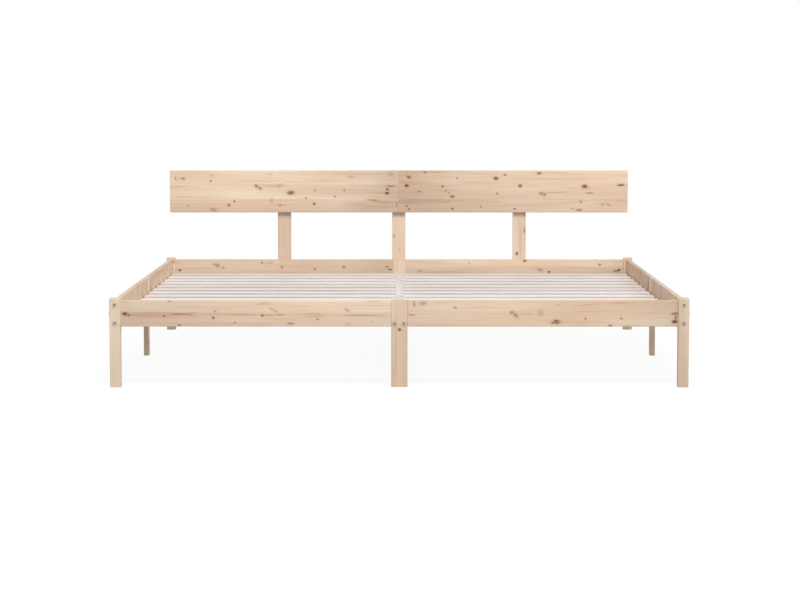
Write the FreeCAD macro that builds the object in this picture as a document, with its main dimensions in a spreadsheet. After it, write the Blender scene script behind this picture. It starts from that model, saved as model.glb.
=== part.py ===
import FreeCAD, Part
import os
import re
from collections import defaultdict

# A double bed frame in knotty pine: corner posts, split rails with a leg at each middle,
# two sets of slats on cleats and a centre beam, and a low two-piece headboard on three posts.
# Millimetres. +X is to the right, +Y towards the headboard, +Z up, and the floor is Z = 0.
# The origin is on the floor, under the middle of the whole frame.

SIZES = {
    # Clear space between the rails, for the mattress
    "mattress_width": 2000,
    "mattress_length": 2000,
    # Square corner posts
    "post_side": 38,
    "post_height": 318,
    "post_round": 3,
    # Rails, which stand back from the outer faces of the posts
    "rail_thickness": 18,
    "rail_height": 94,
    "rail_bottom": 216,
    "rail_setback": 10,
    # Legs between the rail halves, as thick as the rails and level with their tops
    "leg_width": 58,
    # Rounding of the boards' long edges
    "edge_round": 1.5,
    # Slatted deck
    "deck_height": 251,
    "slat_width": 76,
    "slat_thickness": 15,
    "slat_margin": 38,
    "slat_side_gap": 4,
    "slat_centre_gap": 24,
    "slat_round": 1.2,
    "cleat_width": 20,
    "cleat_height": 20,
    "cleat_end_gap": 50,
    "beam_width": 58,
    "beam_thickness": 18,
    # Headboard
    "headboard_bottom": 518,
    "headboard_height": 185,
    "headboard_thickness": 18,
    "headboard_half_length": 1008,
    "headboard_left_shift": 3,
    "headboard_round": 2.5,
    "headboard_post_width": 58,
    "headboard_post_thickness": 18,
    "headboard_post_foot": 246,
    "headboard_post_top_inset": 15,
    "headboard_post_left": 505,
    "headboard_post_right": 532,
    # Connector bolts with wide flat heads
    "bolt_diameter": 6,
    "bolt_clearance": 0.25,
    "bolt_overrun": 7,
    "bolt_end_room": 3,
    "bolt_head_diameter": 15,
    "bolt_head_height": 2.5,
    "bolt_head_bevel": 0.8,
    "bolt_socket": 6,
    "bolt_socket_depth": 1.9,
    "post_bolt_low_inset": 13,
    "post_bolt_high_inset": 16,
    "beam_bolt_spacing": 33,
    "beam_stud_spacing": 20,
    # Barrel nuts, let into the faces of the rails and beams
    "nut_diameter": 10,
    "nut_length": 12,
    "nut_clearance": 0.15,
    "nut_setback": 20,
    "nut_slot_width": 1.6,
    "nut_slot_depth": 1.5,
    "thread_clearance": 0.1,
    # Wooden dowels
    "dowel_diameter": 8,
    "dowel_length": 40,
    "dowel_depth": 12,
    "dowel_inset": 20,
    "dowel_clearance": 0.1,
    "dowel_end_room": 1,
    # Countersunk wood screws
    "screw_diameter": 4,
    "screw_length": 30,
    "screw_point": 5,
    "screw_tip_diameter": 0.4,
    "screw_head_diameter": 8,
    "screw_head_height": 2.4,
    "screw_cross_length": 4,
    "screw_cross_width": 1,
    "screw_cross_depth": 1.2,
    "screw_clearance": 0.15,
    "screw_end_room": 1,
    "middle_screw_offset": 20,
    "cleat_leg_screw": 9,
    "headboard_screw_spread": 32,
    "headboard_screw_inset": 45,
    "rail_screw_inset": 14,
    "rail_screw_spacing": 22,
}

SLATS_PER_SIDE = 13
MIDDLE_SLAT = SLATS_PER_SIDE // 2
CLEAT_SCREW_GAPS = (1.5, 3.5, 5.5)  # between which slats, counted in pitches from the middle

SIDES = {"left": -1, "right": 1}
ENDS = {"front": -1, "rear": 1}
X, Y, Z = range(3)
UP = (Z, 1)
DOWN = (Z, -1)
FRONTWARD = (Y, -1)

# Places worked out from the sizes. Y is counted from the middle of the mattress space.
MATTRESS_MIDDLE_Y = "(rail_setback - headboard_post_thickness + bolt_head_height) / 2"
INNER_X = "mattress_width / 2"
INNER_Y = "mattress_length / 2"
RAIL_OUTER_X = "(mattress_width / 2 + rail_thickness)"
RAIL_OUTER_Y = "(mattress_length / 2 + rail_thickness)"
RAIL_LINE_X = "(mattress_width / 2 + rail_thickness / 2)"
RAIL_LINE_Y = "(mattress_length / 2 + rail_thickness / 2)"
RAIL_TOP = "(rail_bottom + rail_height)"
RAIL_MIDDLE_Z = "(rail_bottom + rail_height / 2)"
POST_OUTER_X = f"({RAIL_OUTER_X} + rail_setback)"
POST_OUTER_Y = f"({RAIL_OUTER_Y} + rail_setback)"
POST_INNER_X = f"({POST_OUTER_X} - post_side)"
POST_INNER_Y = f"({POST_OUTER_Y} - post_side)"
POST_BOLT_HEIGHTS = ("(rail_bottom + post_bolt_low_inset)", f"({RAIL_TOP} - post_bolt_high_inset)")
DOWEL_HEIGHTS = ("(rail_bottom + dowel_inset)", f"({RAIL_TOP} - dowel_inset)")
SLAT_BOTTOM = "(deck_height - slat_thickness)"
SLAT_PITCH = f"((mattress_length - 2 * slat_margin - slat_width) / {SLATS_PER_SIDE - 1})"
SLAT_INNER_X = "slat_centre_gap / 2"
SLAT_OUTER_X = f"({INNER_X} - slat_side_gap)"
SLAT_SCREW_INNER_X = "(slat_centre_gap / 4 + beam_width / 4)"
SLAT_SCREW_OUTER_X = f"({INNER_X} - (slat_side_gap + cleat_width) / 2)"
CLEAT_END_Y = f"({POST_INNER_Y} - cleat_end_gap)"
CLEAT_LINE_Z = f"({SLAT_BOTTOM} - cleat_height / 2)"
BEAM_LINE_Z = f"({SLAT_BOTTOM} - beam_thickness / 2)"
BEAM_INNER_Y = "rail_thickness / 2"
HEADBOARD_TOP = "(headboard_bottom + headboard_height)"

# One bolt length and one stud length serve every joint, so the nut's distance follows the grip.
BOLT_LENGTH = "(post_side + nut_setback + bolt_overrun)"
STUD_LENGTH = "(leg_width + 2 * nut_setback + 2 * bolt_overrun)"
BOLT_HOLE = "(bolt_diameter + 2 * bolt_clearance)"
BOLT_HEAD_HOLE = "(bolt_head_diameter + 2 * bolt_clearance)"
NUT_HOLE = "(nut_diameter + 2 * nut_clearance)"
DOWEL_HOLE = "(dowel_diameter + 2 * dowel_clearance)"
SCREW_HOLE = "(screw_diameter + 2 * screw_clearance)"
SCREW_SINK = "(screw_head_diameter + 2 * screw_clearance)"

HEADBOARD_POSTS = {
    "left": "(-headboard_left_shift - headboard_post_left)",
    "centre": "(-headboard_left_shift)",
    "right": "(headboard_post_right - headboard_left_shift)",
}

doc = FreeCAD.newDocument("bed_frame")
sheet = doc.addObject("Spreadsheet::Sheet", "Sizes")
for row, (alias, value) in enumerate(SIZES.items(), start=1):
    sheet.set(f"A{row}", alias)
    sheet.set(f"B{row}", str(value))
    sheet.setAlias(f"B{row}", alias)
doc.recompute()

drillings = defaultdict(list)
fasteners = defaultdict(list)
nodes = []


def on_sheet(word):
    """A word of a formula, pointed at its cell where it names a size."""
    return f"Sizes.{word[0]}" if word[0] in SIZES else word[0]


def bind(item, place, formula):
    """Bind one property of an object to a formula on the sheet."""
    item.setExpression(place, re.sub(r"\w+", on_sheet, formula))


def bind_place(item, point):
    for axis, formula in zip("xyz", point):
        bind(item, f"Placement.Base.{axis}", formula)


def in_frame(point):
    """A point with its Y counted from the origin of the frame."""
    x, y, z = point
    return x, f"{MATTRESS_MIDDLE_Y} + {y}", z


def moved(point, direction, distance):
    axis, sign = direction
    steps = ["", "", ""]
    steps[axis] = f" + {sign} * ({distance})"
    return tuple(place + step for place, step in zip(point, steps))


def opposite(direction):
    axis, sign = direction
    return axis, -sign


def vector(direction):
    axis, sign = direction
    parts = [0, 0, 0]
    parts[axis] = sign
    return FreeCAD.Vector(*parts)


def turned_to(direction):
    """The rotation that takes +Z to a direction."""
    return FreeCAD.Rotation(FreeCAD.Vector(0, 0, 1), vector(direction))


def low_end(sign, near, far):
    """The lower end of the stretch from near to far, mirrored where the sign is negative."""
    return near if sign > 0 else f"-({far})"


def mirrored(sign, place):
    return f"{sign} * ({place})"


# Joints. Each one drills the boards that it joins and notes where its fasteners go.

def drill(board_name, mouth, direction, diameter, depth, sunk=False):
    drillings[board_name].append((mouth, direction, diameter, depth, sunk))


def nut_for(board_name, axis_point, along, nut_direction, half_thickness):
    """A barrel nut at a point of a bolt's axis, let in along nut_direction."""
    mouth = moved(axis_point, opposite(nut_direction), half_thickness)
    drill(board_name, mouth, nut_direction, NUT_HOLE, f"{half_thickness} + nut_length / 2")
    seat = moved(axis_point, opposite(nut_direction), "nut_length / 2")
    turn = FreeCAD.Rotation(vector(along), FreeCAD.Vector(), vector(nut_direction), "ZXY")
    fasteners["barrel_nuts"].append((seat, turn))


def bolt_joint(outer, inner, mouth, direction, grip, nut_direction, half_thickness):
    """A bolt through the outer board into a barrel nut in the end of the inner one."""
    fasteners["connector_bolts"].append((mouth, turned_to(direction)))
    drill(outer, mouth, direction, BOLT_HOLE, grip)
    face = moved(mouth, direction, grip)
    drill(inner, face, direction, BOLT_HOLE, f"{BOLT_LENGTH} - {grip} + bolt_end_room")
    nut_point = moved(mouth, direction, f"{BOLT_LENGTH} - bolt_overrun")
    nut_for(inner, nut_point, direction, nut_direction, half_thickness)


def stud_joint(leg, boards, centre, axis, grip, nut_direction, half_thickness):
    """A stud through a leg, with a barrel nut in the board on either side of it."""
    forward = (axis, 1)
    fasteners["joining_studs"].append((centre, turned_to(forward)))
    drill(leg, moved(centre, opposite(forward), f"{grip} / 2"), forward, BOLT_HOLE, grip)
    for sign, board_name in boards.items():
        direction = (axis, sign)
        face = moved(centre, direction, f"{grip} / 2")
        drill(board_name, face, direction, BOLT_HOLE, f"({STUD_LENGTH} - {grip}) / 2 + bolt_end_room")
        nut_point = moved(centre, direction, f"{STUD_LENGTH} / 2 - bolt_overrun")
        nut_for(board_name, nut_point, direction, nut_direction, half_thickness)


def dowel_joint(leg, rail, face, direction):
    """A dowel from a leg's or post's face into the end of a rail."""
    fasteners["rail_dowels"].append((moved(face, direction, "-dowel_depth"), turned_to(direction)))
    drill(leg, face, opposite(direction), DOWEL_HOLE, "dowel_depth")
    drill(rail, face, direction, DOWEL_HOLE, "dowel_length - dowel_depth + dowel_end_room")


def screw_joint(outer, inner, mouth, direction, outer_thickness):
    """A countersunk screw through the outer board into the inner one."""
    fasteners["wood_screws"].append((mouth, turned_to(direction)))
    drill(outer, mouth, direction, SCREW_HOLE, outer_thickness, sunk=True)
    face = moved(mouth, direction, outer_thickness)
    drill(inner, face, direction, SCREW_HOLE, f"screw_length - {outer_thickness} + screw_end_room")


def join_corner(side, end):
    sx, sy = SIDES[side], ENDS[end]
    post = f"post_{end}_{side}"
    inward_x, inward_y = (X, -sx), (Y, -sy)
    half_rail = "rail_thickness / 2"
    for height in POST_BOLT_HEIGHTS:
        mouth = (mirrored(sx, RAIL_LINE_X), mirrored(sy, POST_OUTER_Y), height)
        bolt_joint(post, f"rail_{side}_{end}", mouth, inward_y, "post_side", (X, sx), half_rail)
    mouth = (mirrored(sx, POST_OUTER_X), mirrored(sy, RAIL_LINE_Y), RAIL_MIDDLE_Z)
    bolt_joint(post, f"rail_{end}_{side}", mouth, inward_x, "post_side", (Y, sy), half_rail)
    for height in DOWEL_HEIGHTS:
        face = (mirrored(sx, POST_INNER_X), mirrored(sy, RAIL_LINE_Y), height)
        dowel_joint(post, f"rail_{end}_{side}", face, inward_x)


def join_end_leg(end):
    """The front or rear rail halves on their centre leg, with their barrel nuts let in from behind."""
    sy = ENDS[end]
    leg = f"leg_{end}_centre"
    rails = {sign: f"rail_{end}_{side}" for side, sign in SIDES.items()}
    centre = ("0", mirrored(sy, RAIL_LINE_Y), RAIL_MIDDLE_Z)
    stud_joint(leg, rails, centre, X, "leg_width", (Y, -1), "rail_thickness / 2")
    for sign, rail in rails.items():
        for height in DOWEL_HEIGHTS:
            face = (mirrored(sign, "leg_width / 2"), mirrored(sy, RAIL_LINE_Y), height)
            dowel_joint(leg, rail, face, (X, sign))


def join_side_leg(side):
    """The front and rear halves of a side rail on the leg between them."""
    sx = SIDES[side]
    leg = f"leg_{side}_side"
    rails = {sign: f"rail_{side}_{end}" for end, sign in ENDS.items()}
    centre = (mirrored(sx, RAIL_LINE_X), "0", RAIL_MIDDLE_Z)
    stud_joint(leg, rails, centre, Y, "leg_width", (X, sx), "rail_thickness / 2")
    for sign, rail in rails.items():
        for height in DOWEL_HEIGHTS:
            face = (mirrored(sx, RAIL_LINE_X), mirrored(sign, "leg_width / 2"), height)
            dowel_joint(leg, rail, face, (Y, sign))


def join_beams():
    """The beam halves to the front and rear centre legs, and to the middle leg between them."""
    for sx in SIDES.values():
        for end, sy in ENDS.items():
            mouth = (mirrored(sx, "beam_bolt_spacing / 2"), mirrored(sy, RAIL_OUTER_Y), BEAM_LINE_Z)
            bolt_joint(f"leg_{end}_centre", f"beam_{end}", mouth, (Y, -sy), "rail_thickness", UP,
                       "beam_thickness / 2")
        # With a higher deck the rear bolts reach the headboard's centre post, which takes in their heads
        head = (mirrored(sx, "beam_bolt_spacing / 2"), RAIL_OUTER_Y, BEAM_LINE_Z)
        head_room = "bolt_head_height + bolt_clearance"
        drill("headboard_post_centre", head, opposite(FRONTWARD), BOLT_HEAD_HOLE, head_room)
        beams = {sign: f"beam_{end}" for end, sign in ENDS.items()}
        centre = (mirrored(sx, "beam_stud_spacing / 2"), "0", BEAM_LINE_Z)
        stud_joint("leg_middle", beams, centre, Y, "rail_thickness", UP, "beam_thickness / 2")


def join_cleat(side, end):
    """A cleat to its half of the side rail, with its inner end on the side leg."""
    sx, sy = SIDES[side], ENDS[end]
    cleat = f"cleat_{side}_{end}"
    cleat_face = mirrored(sx, f"{INNER_X} - cleat_width")
    for gap in CLEAT_SCREW_GAPS:
        mouth = (cleat_face, mirrored(sy, f"{gap} * {SLAT_PITCH}"), CLEAT_LINE_Z)
        screw_joint(cleat, f"rail_{side}_{end}", mouth, (X, sx), "cleat_width")
    mouth = (cleat_face, mirrored(sy, "cleat_leg_screw"), CLEAT_LINE_Z)
    screw_joint(cleat, f"leg_{side}_side", mouth, (X, sx), "cleat_width")


def slat_line(number):
    """The place of a slat's centre line, from the middle of the mattress space."""
    return f"{number - MIDDLE_SLAT} * {SLAT_PITCH}"


def join_slat(side, number):
    """A slat to the cleat and the beam below it. The middle slat's screws miss their joints."""
    sx = SIDES[side]
    slat = f"slat_{side}_{number + 1:02d}"
    end = "front" if number <= MIDDLE_SLAT else "rear"
    line = "-middle_screw_offset" if number == MIDDLE_SLAT else slat_line(number)
    seats = {f"cleat_{side}_{end}": SLAT_SCREW_OUTER_X, f"beam_{end}": SLAT_SCREW_INNER_X}
    for seat, place in seats.items():
        screw_joint(slat, seat, (mirrored(sx, place), line, "deck_height"), DOWN, "slat_thickness")


def join_headboard_post(name, centre_x):
    """A headboard post to the panels in front of it, and to the rail or leg below them."""
    post = f"headboard_post_{name}"
    back = f"{RAIL_OUTER_Y} + headboard_post_thickness"
    rows = ("headboard_bottom + headboard_screw_inset", f"{HEADBOARD_TOP} - headboard_screw_inset")
    for side, sign in SIDES.items():
        panel_side = side if name == "centre" else name
        for height in rows:
            mouth = (f"{centre_x} + {sign} * headboard_screw_spread / 2", back, height)
            screw_joint(post, f"headboard_panel_{panel_side}", mouth, FRONTWARD, "headboard_post_thickness")
    base = "leg_rear_centre" if name == "centre" else f"rail_rear_{name}"
    for step in range(2):
        mouth = (centre_x, back, f"{RAIL_TOP} - rail_screw_inset - {step} * rail_screw_spacing")
        screw_joint(post, base, mouth, FRONTWARD, "headboard_post_thickness")


# Boards. A unit cube gives the names of a blank's edges.

UNIT_CUBE_EDGES = list(enumerate(Part.makeBox(1, 1, 1).Edges, start=1))


def edges_along(axis):
    return [f"Edge{number}" for number, edge in UNIT_CUBE_EDGES
            if abs(edge.tangentAt(edge.FirstParameter)[axis]) > 0.5]


def top_edges():
    return [f"Edge{number}" for number, edge in UNIT_CUBE_EDGES if edge.BoundBox.ZMin > 0.5]


def cutter(kind, name, place, turn, **sizes):
    """A solid that a board's drillings are cut with."""
    item = doc.addObject(f"Part::{kind}", name)
    item.Placement = FreeCAD.Placement(FreeCAD.Vector(), turn)
    bind_place(item, place)
    for size, formula in sizes.items():
        bind(item, size, formula)
    return item


def board_cutters(label, corner):
    """The drills and countersinks of a board, placed from its lowest corner."""
    cutters = []
    for number, (mouth, direction, diameter, depth, sunk) in enumerate(drillings[label], start=1):
        place = tuple(f"{point} - ({low})" for point, low in zip(mouth, corner))
        turn = turned_to(direction)
        cutters.append(cutter("Cylinder", f"{label}_bore_{number}", place, turn,
                              Radius=f"{diameter} / 2", Height=depth))
        if sunk:
            cutters.append(cutter("Cone", f"{label}_sink_{number}", place, turn,
                                  Radius1=f"{SCREW_SINK} / 2", Radius2=f"{SCREW_HOLE} / 2",
                                  Height="screw_head_height"))
    return cutters


def board(label, size, corner, rounded_edges, radius="edge_round"):
    """A board with rounded edges and the holes of its joints, placed by its lowest corner."""
    body = doc.addObject("PartDesign::Body", f"{label}_body")
    blank = body.newObject("PartDesign::AdditiveBox", f"{label}_blank")
    for side, formula in zip(("Length", "Width", "Height"), size):
        bind(blank, side, formula)
    rounding = body.newObject("PartDesign::Fillet", f"{label}_rounding")
    rounding.Base = (blank, rounded_edges)
    bind(rounding, "Radius", radius)
    drillings_of_board = doc.addObject("Part::MultiFuse", f"{label}_drillings")
    drillings_of_board.Shapes = board_cutters(label, corner)
    drilled = doc.addObject("Part::Cut", label)
    drilled.Label = label
    drilled.Base = body
    drilled.Tool = drillings_of_board
    bind_place(drilled, in_frame(corner))
    nodes.append(drilled)


def corner_post(side, end):
    corner = (
        low_end(SIDES[side], POST_INNER_X, POST_OUTER_X),
        low_end(ENDS[end], POST_INNER_Y, POST_OUTER_Y),
        "0",
    )
    size = ("post_side", "post_side", "post_height")
    board(f"post_{end}_{side}", size, corner, edges_along(Z) + top_edges(), "post_round")


def end_rail(side, end):
    corner = (
        low_end(SIDES[side], "leg_width / 2", POST_INNER_X),
        low_end(ENDS[end], INNER_Y, RAIL_OUTER_Y),
        "rail_bottom",
    )
    size = (f"{POST_INNER_X} - leg_width / 2", "rail_thickness", "rail_height")
    board(f"rail_{end}_{side}", size, corner, edges_along(X))


def side_rail(side, end):
    corner = (
        low_end(SIDES[side], INNER_X, RAIL_OUTER_X),
        low_end(ENDS[end], "leg_width / 2", POST_INNER_Y),
        "rail_bottom",
    )
    size = ("rail_thickness", f"{POST_INNER_Y} - leg_width / 2", "rail_height")
    board(f"rail_{side}_{end}", size, corner, edges_along(Y))


def end_leg(end):
    corner = ("-leg_width / 2", low_end(ENDS[end], INNER_Y, RAIL_OUTER_Y), "0")
    size = ("leg_width", "rail_thickness", RAIL_TOP)
    board(f"leg_{end}_centre", size, corner, edges_along(Z))


def side_leg(side):
    corner = (low_end(SIDES[side], INNER_X, RAIL_OUTER_X), "-leg_width / 2", "0")
    size = ("rail_thickness", "leg_width", RAIL_TOP)
    board(f"leg_{side}_side", size, corner, edges_along(Z))


def middle_leg():
    corner = ("-beam_width / 2", "-rail_thickness / 2", "0")
    size = ("beam_width", "rail_thickness", SLAT_BOTTOM)
    board("leg_middle", size, corner, edges_along(Z))


def centre_beam(end):
    corner = (
        "-beam_width / 2",
        low_end(ENDS[end], BEAM_INNER_Y, INNER_Y),
        f"{SLAT_BOTTOM} - beam_thickness",
    )
    size = ("beam_width", f"{INNER_Y} - {BEAM_INNER_Y}", "beam_thickness")
    board(f"beam_{end}", size, corner, edges_along(Y))


def slat_cleat(side, end):
    corner = (
        low_end(SIDES[side], f"({INNER_X} - cleat_width)", INNER_X),
        low_end(ENDS[end], "0", CLEAT_END_Y),
        f"{SLAT_BOTTOM} - cleat_height",
    )
    size = ("cleat_width", CLEAT_END_Y, "cleat_height")
    board(f"cleat_{side}_{end}", size, corner, edges_along(Y))


def slat(side, number):
    corner = (
        low_end(SIDES[side], SLAT_INNER_X, SLAT_OUTER_X),
        f"{slat_line(number)} - slat_width / 2",
        SLAT_BOTTOM,
    )
    size = (f"{SLAT_OUTER_X} - {SLAT_INNER_X}", "slat_width", "slat_thickness")
    board(f"slat_{side}_{number + 1:02d}", size, corner, edges_along(X), "slat_round")


def headboard_panel(side):
    corner = (
        f"{low_end(SIDES[side], '0', 'headboard_half_length')} - headboard_left_shift",
        f"{RAIL_OUTER_Y} - headboard_thickness",
        "headboard_bottom",
    )
    size = ("headboard_half_length", "headboard_thickness", "headboard_height")
    board(f"headboard_panel_{side}", size, corner, edges_along(X), "headboard_round")


def headboard_post(name, centre_x):
    corner = (f"{centre_x} - headboard_post_width / 2", RAIL_OUTER_Y, "headboard_post_foot")
    height = f"{HEADBOARD_TOP} - headboard_post_top_inset - headboard_post_foot"
    size = ("headboard_post_width", "headboard_post_thickness", height)
    board(f"headboard_post_{name}", size, corner, edges_along(Z))


# Fasteners. Each pattern points along +Z, the way it is driven.

def feature(body, kind, name, start="0", **sizes):
    """A primitive of a fastener's pattern, from a height on its axis."""
    item = body.newObject(f"PartDesign::{kind}", f"{body.Label}_{name}")
    for place, formula in sizes.items():
        bind(item, place, formula)
    bind(item, "Placement.Base.z", start)
    return item


def slot(body, name, length, width, depth):
    """A straight slot across the driven end."""
    item = feature(body, "SubtractiveBox", name, Length=length, Width=width, Height=depth)
    bind(item, "Placement.Base.x", f"-{length} / 2")
    bind(item, "Placement.Base.y", f"-{width} / 2")


def pattern(name):
    body = doc.addObject("PartDesign::Body", name)
    body.Label = name
    return body


def bolt_pattern():
    """A flat-headed bolt with a hexagon socket. Its head bears on the plane Z = 0."""
    body = pattern("connector_bolt")
    feature(body, "AdditiveCylinder", "shank", Radius="bolt_diameter / 2", Height=BOLT_LENGTH)
    feature(body, "AdditiveCylinder", "head", "bolt_head_bevel - bolt_head_height",
            Radius="bolt_head_diameter / 2", Height="bolt_head_height - bolt_head_bevel")
    feature(body, "AdditiveCone", "bevel", "-bolt_head_height",
            Radius1="bolt_head_diameter / 2 - bolt_head_bevel",
            Radius2="bolt_head_diameter / 2",
            Height="bolt_head_bevel")
    socket = feature(body, "SubtractivePrism", "socket", "-bolt_head_height",
                     Circumradius="bolt_socket / sqrt(3)", Height="bolt_socket_depth")
    socket.Polygon = 6
    return body


def nut_pattern():
    """A barrel nut with a slotted end at Z = 0 and its cross hole along X."""
    body = pattern("barrel_nut")
    feature(body, "AdditiveCylinder", "barrel", Radius="nut_diameter / 2", Height="nut_length")
    hole = body.newObject("PartDesign::SubtractiveCylinder", "barrel_nut_hole")
    hole.Placement = FreeCAD.Placement(FreeCAD.Vector(), turned_to((X, 1)))
    bind_place(hole, ("-nut_diameter / 2", "0", "nut_length / 2"))
    bind(hole, "Radius", "bolt_diameter / 2 + thread_clearance")
    bind(hole, "Height", "nut_diameter")
    slot(body, "slot", "nut_diameter", "nut_slot_width", "nut_slot_depth")
    return body


def stud_pattern():
    """A plain joining stud, centred on the leg that it passes through."""
    body = pattern("joining_stud")
    feature(body, "AdditiveCylinder", "rod", f"-{STUD_LENGTH} / 2",
            Radius="bolt_diameter / 2", Height=STUD_LENGTH)
    return body


def dowel_pattern():
    body = pattern("rail_dowel")
    feature(body, "AdditiveCylinder", "pin", Radius="dowel_diameter / 2", Height="dowel_length")
    return body


def screw_pattern():
    """A countersunk screw with a cross recess. The top of its head is the plane Z = 0."""
    body = pattern("wood_screw")
    feature(body, "AdditiveCylinder", "shank",
            Radius="screw_diameter / 2", Height="screw_length - screw_point")
    feature(body, "AdditiveCone", "point", "screw_length - screw_point",
            Radius1="screw_diameter / 2", Radius2="screw_tip_diameter / 2", Height="screw_point")
    feature(body, "AdditiveCone", "head",
            Radius1="screw_head_diameter / 2", Radius2="screw_diameter / 2", Height="screw_head_height")
    slot(body, "cross_x", "screw_cross_length", "screw_cross_width", "screw_cross_depth")
    slot(body, "cross_y", "screw_cross_width", "screw_cross_length", "screw_cross_depth")
    return body


def fastener_group(label, body):
    """All fasteners of one kind, as one group of separate solids."""
    copies = []
    for number, (place, turn) in enumerate(fasteners[label], start=1):
        copy = doc.addObject("App::Link", f"{label}_{number:03d}")
        copy.LinkedObject = body
        copy.Placement = FreeCAD.Placement(FreeCAD.Vector(), turn)
        bind_place(copy, in_frame(place))
        copies.append(copy)
    group = doc.addObject("Part::Compound", label)
    group.Label = label
    group.Links = copies
    nodes.append(group)


# The joints come first, because they say how each board is drilled.
for side in SIDES:
    for end in ENDS:
        join_corner(side, end)
        join_cleat(side, end)
    join_side_leg(side)
    for number in range(SLATS_PER_SIDE):
        join_slat(side, number)
for end in ENDS:
    join_end_leg(end)
join_beams()
for name, centre_x in HEADBOARD_POSTS.items():
    join_headboard_post(name, centre_x)

for side in SIDES:
    for end in ENDS:
        corner_post(side, end)
        end_rail(side, end)
        side_rail(side, end)
        slat_cleat(side, end)
    side_leg(side)
    headboard_panel(side)
    for number in range(SLATS_PER_SIDE):
        slat(side, number)
for end in ENDS:
    end_leg(end)
    centre_beam(end)
middle_leg()
for name, centre_x in HEADBOARD_POSTS.items():
    headboard_post(name, centre_x)

fastener_group("connector_bolts", bolt_pattern())
fastener_group("barrel_nuts", nut_pattern())
fastener_group("joining_studs", stud_pattern())
fastener_group("rail_dowels", dowel_pattern())
fastener_group("wood_screws", screw_pattern())

doc.recompute()
for item in doc.Objects:
    if "Invalid" in item.State or "Error" in item.State:
        raise RuntimeError(f"{item.Label} failed: {item.State}")
for node in nodes:
    if node.Shape.isNull() or not node.Shape.isValid():
        raise RuntimeError(f"{node.Label} has no valid shape")

os.makedirs("parts", exist_ok=True)
for node in nodes:
    node.Shape.exportStep(f"parts/{node.Label}.step")
    box = node.Shape.BoundBox
    print(f"{node.Label}: {len(node.Shape.Solids)} solids, {node.Shape.Volume / 1000:.1f} cm3,"
          f" {box.XLength:.1f} x {box.YLength:.1f} x {box.ZLength:.1f} mm")
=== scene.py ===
"""Looks of a double bed frame in knotty pine: camera, light, floor and a finish for every piece."""

import math
import random

import bpy
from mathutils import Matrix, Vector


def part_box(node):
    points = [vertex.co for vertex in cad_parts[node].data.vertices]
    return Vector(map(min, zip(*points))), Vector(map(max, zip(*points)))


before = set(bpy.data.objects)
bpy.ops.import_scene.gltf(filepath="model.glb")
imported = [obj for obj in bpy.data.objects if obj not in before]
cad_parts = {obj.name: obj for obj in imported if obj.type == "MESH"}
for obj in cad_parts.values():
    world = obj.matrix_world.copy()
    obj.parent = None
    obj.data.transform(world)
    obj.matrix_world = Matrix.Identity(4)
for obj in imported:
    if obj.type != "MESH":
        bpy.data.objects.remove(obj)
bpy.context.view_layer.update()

MM = 0.001

# Camera, in metres and degrees, solved from the posts, rails and headboard in the photograph
IMAGE_WIDTH = 800
FOCAL_PIXELS = 2311.04
SENSOR_WIDTH = 36.0
CAMERA_PLACE = (0.00247, -9.18444, 1.04039)
CAMERA_PITCH = 5.10623

# World: how bright it is at the horizon and overhead, and how much brighter on the right
SKY_LOW = 0.35
SKY_HIGH = 0.5
SKY_LEAN = 0.1

# Lamps: degrees to the right of straight in front, degrees up, watts
KEY_LAMP = (3, 56, 530)
SIDE_LAMP = (60, 35, 130)
REAR_LAMP = (180, 20, 300)
LAMP_DISTANCE = 9.0
LAMP_SIZE = 3.6

# Floor: its paint as it lights the bed and as the camera sees it, and the share of plain white over it
# below the bed, which grows to all of it where the shadow ends
FLOOR_SIZE = 80.0
FLOOR_PAINT = 0.5
FLOOR_PAINT_SEEN = 0.95
FLOOR_ROUGHNESS = 0.9
FLOOR_WHITE = 0.9
SHADOW_REACH = (1.1, 2.6)
WHITE = (1, 1, 1, 1)

# In the values of the materials, a pattern is noise: its waves a metre along, across and through a board, or
# along the frame's axes on fittings, and its steps of detail. A fade goes from one value to another, and
# gives the strength at each of them. A level is a first value, and how much is added to it at most.
# A relief is a strength and a depth.

# How far a board's noise is shifted by chance
SEED_RANGE = (0, 50)

# Growth of the pine, in metres, with its taper as a slope and its pith aside in widths of the board
RING_WIDTH = 4.2 * MM
PITH_DEPTH = (25 * MM, 75 * MM)
PITH_ASIDE = (-0.3, 0.3)
TAPER = 0.012
GRAIN_WANDER = 26 * MM
WANDER_PATTERN = ((1.3, 5, 5), 2.0)

# Late wood over the width of one ring, and how much of it a year brings
LATE_ONSET = (0.25, 0.9, 0.0, 1.0)
LATE_END = (0.92, 1.0, 1.0, 0.0)
YEAR_POWER = 2.0
YEAR_LEVEL = (0.06, 0.34)

# Clouds, wisps and fibres of the pine, and its bands, whose waves count rings and metres along
CLOUD_PATTERN = ((1.8, 13, 13), 3.0)
CLOUD_FADE = (0.3, 0.7, 0.0, 1.0)
BAND_PATTERN = ((0.22, 0.9, 0), 2.0)
BAND_FADE = (0.4, 0.75, 0.0, 0.5)
WISP_PATTERN = ((2.6, 75, 75), 3.0)
WISP_FADE = (0.52, 0.75, 0.0, 0.4)
FIBRE_PATTERN = ((14, 520, 520), 2.0)
FIBRE_FADE = (0.35, 0.75, 0.0, 0.14)

# Knots, with distances in knot sizes from their middle
NO_KNOT = 9.0
KNOT_REACH = 3.2
KNOT_PUSH = 0.8
KNOT_EDGE_PATTERN = ((90, 160, 160), 3.0)
KNOT_EDGE_LEVEL = (-0.65, 1.3)
HALO_FADE = (0.8, 2.4, 0.34, 0.0)
BODY_FADE = (0.6, 1.25, 1.0, 0.0)
KNOT_RINGS = 15.0
KNOT_RING_FADE = (-0.2, 1.0, 0.0, 0.25)
RIM_PLACE = 0.9
RIM_FADE = (0.0, 0.3, 0.6, 0.0)
RIM_POWER = 2.0
HEART_FADE = (0.1, 0.7, 0.7, 0.0)

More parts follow.
